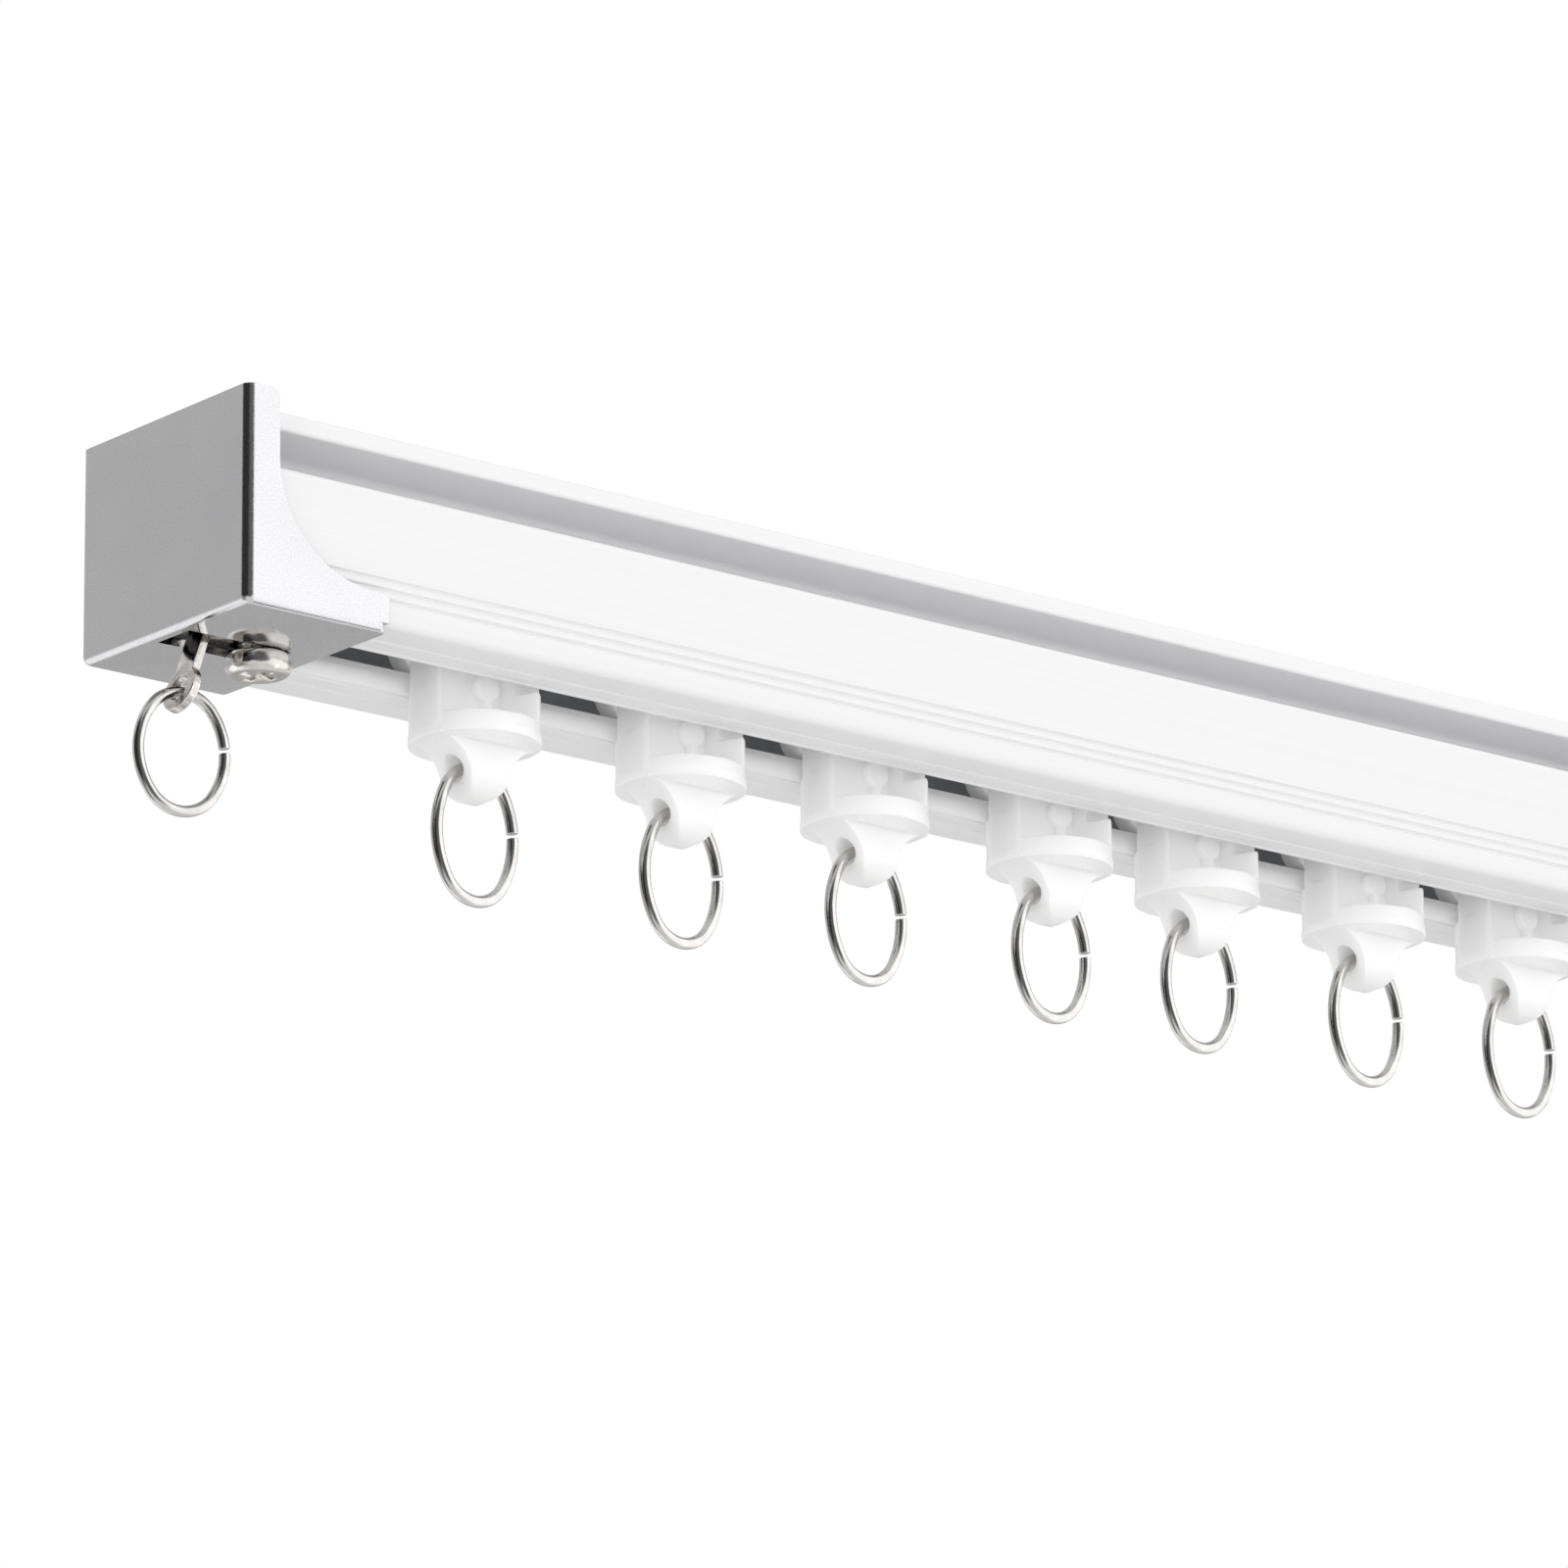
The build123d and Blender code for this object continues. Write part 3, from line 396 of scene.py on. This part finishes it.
def plated_fitting():
    """Nickel on a worn casting: a few soft lumps, scuffed on the outer edges."""
    lump_size, lump_share = 1.9, 0.7
    scuff_size, scuff_depth = 0.3, 0.04
    wear_share = 0.35
    made, tree, shader = material("plated_fitting", CASTING, metallic=1.0, roughness=0.3)
    lumps = noise(tree, lump_size, detail=1.5)
    scuffs = noise(tree, scuff_size, detail=4)
    tone = weighed(tree, lumps, lump_share, edges_of(tree, low=0.5, high=0.56), wear_share)
    colour = between_tones(tree, tone, CASTING_TONES, start=0.25, end=0.75)
    tree.links.new(colour, shader.inputs["Base Color"])
    tree.links.new(spread(tree, scuffs, low=0.1, high=0.24), shader.inputs["Roughness"])
    height = combine(tree, "ADD", lumps, combine(tree, "MULTIPLY", scuffs, scuff_depth))
    relief(tree, shader, height, CASTING_RELIEF)
    return made


def shades(colour, darker, lighter=1.0):
    """The colour made darker, and made lighter, by those factors."""
    return tuple(c * darker for c in colour), tuple(min(1.0, c * lighter) for c in colour)


def drawn_wire(name, colour, roughness):
    """Bright wire with fine drawing lines and a few duller patches."""
    line_size, line_run, patch_size = 0.09, 9, 2.2
    smoothest = 0.7                 # of the roughness, before the lines add to it
    made, tree, shader = material(name, colour, metallic=1.0, roughness=roughness)
    lines = noise(tree, line_size, stretch=(1, 1, line_run), detail=2)
    patches = noise(tree, patch_size, detail=4)
    tones = shades(colour, darker=0.84, lighter=1.12)
    tree.links.new(between_tones(tree, patches, tones), shader.inputs["Base Color"])
    streaks = spread(tree, lines, low=0.0, high=0.08)
    dulled = spread(tree, patches, roughness * smoothest, roughness)
    tree.links.new(combine(tree, "ADD", streaks, dulled), shader.inputs["Roughness"])
    relief(tree, shader, lines, WIRE_RELIEF)
    return made


def pressed_sheet(name, colour, roughness, grain_size):
    """Zinc or bright sheet: faint spangle, rolling lines and brighter worn edges."""
    line_size, line_run = 0.12, 12
    spangle_share, wear_share = 0.8, 0.3
    variation = 0.25                # of the roughness, either way
    made, tree, shader = material(name, colour, metallic=1.0, roughness=roughness)
    spangle = noise(tree, grain_size, detail=3)
    rolling = noise(tree, line_size, stretch=(line_run, 1, 1), detail=2)
    tone = weighed(tree, spangle, spangle_share, edges_of(tree, low=0.5, high=0.58), wear_share)
    tones = shades(colour, darker=0.82, lighter=1.15)
    tree.links.new(between_tones(tree, tone, tones), shader.inputs["Base Color"])
    rough = spread(tree, spangle, roughness * (1 - variation), roughness * (1 + variation))
    tree.links.new(rough, shader.inputs["Roughness"])
    relief(tree, shader, combine(tree, "ADD", rolling, spangle), PRESSED_RELIEF)
    return made


def milky_nylon(name, colour, roughness):
    """Moulded nylon: light soaks a millimetre or two into it, and its skin is slightly uneven."""
    flow_size, skin_size, skin_depth = 3.0, 0.5, 0.15
    variation = 0.15                # of the roughness, either way
    made, tree, shader = material(name, colour, metallic=0.0, roughness=roughness)
    flow = noise(tree, flow_size, detail=3)
    skin = noise(tree, skin_size, detail=4)
    tones = shades(colour, darker=0.965)
    tree.links.new(between_tones(tree, flow, tones), shader.inputs["Base Color"])
    rough = spread(tree, skin, roughness * (1 - variation), roughness * (1 + variation))
    tree.links.new(rough, shader.inputs["Roughness"])
    shader.inputs["Subsurface Weight"].default_value = 0.8
    shader.inputs["Subsurface Radius"].default_value = (1.0, 1.0, 0.95)
    shader.inputs["Subsurface Scale"].default_value = NYLON_DEPTH * MM
    # painted light: a faint white glow that stands for light reaching the nylon through its walls
    shader.inputs["Emission Color"].default_value = (1, 1, 1, 1)
    shader.inputs["Emission Strength"].default_value = NYLON_GLOW
    height = combine(tree, "ADD", flow, combine(tree, "MULTIPLY", skin, skin_depth))
    relief(tree, shader, height, NYLON_RELIEF)
    return made


finishes = {
    "track_paint": track_paint(),
    "plated_sheet": plated_sheet(),
    "plated_fitting": plated_fitting(),
    "ring_steel": drawn_wire("ring_steel", RING_STEEL, roughness=0.1),
    "hook_steel": drawn_wire("hook_steel", HOOK_STEEL, roughness=0.16),
    "clip_steel": pressed_sheet("clip_steel", CLIP_STEEL, roughness=0.2, grain_size=1.2),
    "zinc_steel": pressed_sheet("zinc_steel", ZINC_STEEL, roughness=0.3, grain_size=1.1),
    "nylon": milky_nylon("nylon", CARRIER_NYLON, roughness=0.3),
    "wheel_nylon": milky_nylon("wheel_nylon", WHEEL_NYLON, roughness=0.4),
}


# ---------------------------------------------------------------- pieces
WELD_DISTANCE = 0.0005              # joins the points of neighbouring faces
FLAT_ANGLE = math.radians(0.5)      # faces that meet at less are one face
BEVEL_ANGLE = math.radians(35)      # edges sharper than this are rounded
SHEET_CREASE = 40                   # degrees at which rounded pieces shade crisply
RAIL_CREASE = 30
ARC_STEP = 6.0                      # degrees of arc for one segment of an outline
STRAIGHT = math.radians(89.5)       # half of an angle that counts as no corner
CORNER_SHARE = (0.35, 0.6, 0.35)    # a groove's corner radii over its half width


def put(name, mesh, node, offset=(0, 0, 0), bend=None):
    """A finished piece that stands for a CAD node and moves with its body; given a bend, it is left in
    place on no body, and the bend's contents are not used.
    """
    piece = bpy.data.objects.new(name, mesh)
    piece.location = offset
    scene.collection.objects.link(piece)
    mesh.materials.clear()
    mesh.materials.append(finishes[slot_of[node]])
    if bend:
        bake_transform(piece)
    else:
        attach(piece, nodes[node]["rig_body"])
    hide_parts(node)
    return piece


def shade(mesh, sharp_angle):
    """Smooth shading that stays crisp where faces meet at more than the angle."""
    mesh.shade_smooth()
    mesh.set_sharp_from_angle(angle=math.radians(sharp_angle))


def welded(node):
    """The CAD node's surface with its points joined and its flat faces whole."""
    made = bmesh.new()
    made.from_mesh(nodes[node].data)
    bmesh.ops.remove_doubles(made, verts=made.verts, dist=WELD_DISTANCE * MM)
    bmesh.ops.dissolve_limit(made, angle_limit=FLAT_ANGLE, verts=made.verts, edges=made.edges)
    mesh = bpy.data.meshes.new(node + "_surface")
    made.to_mesh(mesh)
    made.free()
    return mesh


def worked(mesh, name, modifiers):
    """The mesh after the modifiers, each given as (type, settings)."""
    holder = bpy.data.objects.new("holder", mesh)
    scene.collection.objects.link(holder)
    for kind, settings in modifiers:
        modifier = holder.modifiers.new(kind.lower(), kind)
        for setting, value in settings.items():
            setattr(modifier, setting, value)
    graph = bpy.context.evaluated_depsgraph_get()
    done = bpy.data.meshes.new_from_object(holder.evaluated_get(graph))
    bpy.data.objects.remove(holder)
    bpy.data.meshes.remove(mesh)
    done.name = name
    return done


def softened(node, radius):
    """The CAD node's surface with its edges rounded, for sheet and turned metal."""
    mesh = welded(node)
    shade(mesh, SHEET_CREASE)
    bevel = {
        "width": radius * MM,
        "segments": 2,
        "limit_method": "ANGLE",
        "angle_limit": BEVEL_ANGLE,
        "harden_normals": True,
        "use_clamp_overlap": True,
    }
    return worked(mesh, node + "_softened", [("BEVEL", bevel)])


def moulded(node, voxel, rounds, share):
    """The CAD node's surface with every corner melted a little, for mouldings and castings."""
    steps = [
        ("REMESH", {"mode": "VOXEL", "voxel_size": voxel * MM}),
        ("SMOOTH", {"factor": 0.5, "iterations": rounds}),
        ("DECIMATE", {"ratio": share}),
    ]
    mesh = worked(welded(node), node + "_moulded", steps)
    mesh.shade_smooth()
    return mesh


def arc(centre, radius, start, turn):
    """Points along an arc, angles in degrees."""
    count = max(2, math.ceil(abs(turn) / ARC_STEP))
    angles = [math.radians(start + turn * i / count) for i in range(count + 1)]
    return [(centre[0] + radius * math.cos(a), centre[1] + radius * math.sin(a)) for a in angles]


def rounded(corners):
    """An outline through (x, y, radius) corners, each rounded by its radius."""
    outline = []
    for before, corner, after in zip(corners[-1:] + corners[:-1], corners, corners[1:] + corners[:1]):
        here = Vector(corner[:2])
        back = (Vector(before[:2]) - here).normalized()
        ahead = (Vector(after[:2]) - here).normalized()
        half = back.angle(ahead) / 2
        if corner[2] == 0 or half > STRAIGHT:
            outline.append(tuple(here))
            continue
        reach = corner[2] / math.tan(half)
        centre = here + (back + ahead).normalized() * corner[2] / math.sin(half)
        first = here + back * reach - centre
        last = here + ahead * reach - centre
        start = math.atan2(first.y, first.x)
        turn = (math.atan2(last.y, last.x) - start + math.pi) % (2 * math.pi) - math.pi
        outline += arc(centre, corner[2], math.degrees(start), math.degrees(turn))
    return outline


def notch(place, half, depth, inward, run):
    """Three corners of a small groove centred at place on a straight run, opening outwards."""
    along = Vector(run)
    into = Vector(inward)
    middle = Vector(place)
    mouth = [middle - along * half, middle + into * depth, middle + along * half]
    return [(p.x, p.y, half * share) for p, share in zip(mouth, CORNER_SHARE)]


def track_half():
    """The section's +Y half, from the flange's top down and round to the channel's top inside."""
    bead_groove = SLOT_HALF + BEAD + BEAD_GROOVE_HALF
    corners = [
        (FLANGE_HALF, TRACK_TOP, 0.5),
        (FLANGE_HALF, FLANGE_BOTTOM, 0.4),
        (WEB_HALF, FLANGE_BOTTOM, 0.8),
        (WEB_HALF, CHANNEL_TOP, 0.5),
        (CHANNEL_HALF, CHANNEL_TOP, 0.8),
    ]
    for height in GROOVE_HEIGHTS:
        corners += notch((CHANNEL_HALF, height), GROOVE_HALF, GROOVE_DEPTH, (-1, 0), (0, -1))
    corners.append((CHANNEL_HALF, 0, 1.1))
    corners += notch((LIP_LINE, 0), LIP_LINE_HALF, LIP_LINE_DEPTH, (0, 1), (-1, 0))
    corners += notch((bead_groove, 0), BEAD_GROOVE_HALF, BEAD_GROOVE_DEPTH, (0, 1), (-1, 0))
    corners += [
        (SLOT_HALF, 0, BEAD - BEAD_EASE),
        (SLOT_HALF, LIP, 0.1),
        (CHANNEL_HALF - WALL, LIP, 0.1),
        (CHANNEL_HALF - WALL, CHANNEL_TOP - WALL, 0.3),
    ]
    return corners


def extrusion(name, outline, start, end):
    """A prism along X from an outline in (Y, Z)."""
    made = bmesh.new()
    rings = [[made.verts.new((x, y, z)) for y, z in outline] for x in (start, end)]
    made.faces.new(rings[0][::-1])
    made.faces.new(rings[1])
    count = len(outline)
    for i in range(count):
        j = (i + 1) % count
        made.faces.new((rings[0][i], rings[0][j], rings[1][j], rings[1][i]))
    bmesh.ops.recalc_face_normals(made, faces=made.faces)
    mesh = bpy.data.meshes.new(name)
    made.to_mesh(mesh)
    made.free()
    shade(mesh, RAIL_CREASE)
    return mesh


def make_track():
    half = track_half()
    mirrored = [(-y, z, r) for y, z, r in reversed(half)]
    outline = [(y * MM, underside + z * MM) for y, z in rounded(half + mirrored)]
    start, end = (corner.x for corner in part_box("track"))
    put("track_rail", extrusion("track_rail", outline, start, end), "track")


make_track()

# sheet, turned and wire pieces, with how far each one's edges are rounded
SIDED_EDGES = {
    "end_cap": 0.16,
    "cap_screw": 0.18,
    "clamp_nut": 0.15,
    "end_ring": 0.1,
    "bracket_plate": 0.2,
    "bracket_lever": 0.2,
    "bracket_rivet": 0.12,
}
SINGLE_EDGES = {
    "s_hook": 0.15,
    "clip_hook": 0.12,
    "clip_jaw_fixed": 0.12,
    "clip_jaw_moving": 0.12,
    "clip_rivet": 0.12,
}
SPRING_EDGE = 0.06
STIFF_SHARE = 0.3                   # of the spring's leg stays with its coil
for side in ("left", "right"):
    for part, radius in SIDED_EDGES.items():
        node = f"{part}_{side}"
        put(f"{node}_metal", softened(node, radius), node)
    node = f"eyelet_tongue_{side}"
    put(f"{node}_metal", moulded(node, voxel=0.07, rounds=14, share=0.4), node)
for node, radius in SINGLE_EDGES.items():
    put(f"{node}_metal", softened(node, radius), node)

# the spring's leg behind the moving handle, from where it leaves the coil to its tip; the spring itself
# stays fixed and does not bend
joints = {joint["name"]: joint for joint in frame["record"]["behaviour"]["joints"]}
rivet = Vector(joints["clip_jaw_open"]["pos_m"])
spring_low, spring_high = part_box("clip_spring")
leg_tip = Vector((rivet.x, spring_low.y, spring_high.z))
leg_root = rivet.lerp(leg_tip, STIFF_SHARE)
spring_bend = ("clip", "clip_jaw", tuple(leg_root), tuple(leg_tip))
put("clip_spring_metal", softened("clip_spring", SPRING_EDGE), "clip_spring", bend=spring_bend)

# carriers: one mesh for each kind of piece, repeated along the track
CARRIER_EDGE = 0.1
carrier_meshes = {
    "body": moulded("carrier_1_body", voxel=0.11, rounds=6, share=0.35),
    "front_wheels": softened("carrier_1_front_wheels", CARRIER_EDGE),
    "rear_wheels": softened("carrier_1_rear_wheels", CARRIER_EDGE),
    "ring": softened("carrier_1_ring", CARRIER_EDGE),
}
carrier_count = sum(name.endswith("_body") for name in nodes)
for number in range(1, carrier_count + 1):
    for kind, mesh in carrier_meshes.items():
        node = f"carrier_{number}_{kind}"
        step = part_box(node)[0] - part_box(f"carrier_1_{kind}")[0]
        put(f"{node}_piece", mesh, node, step)
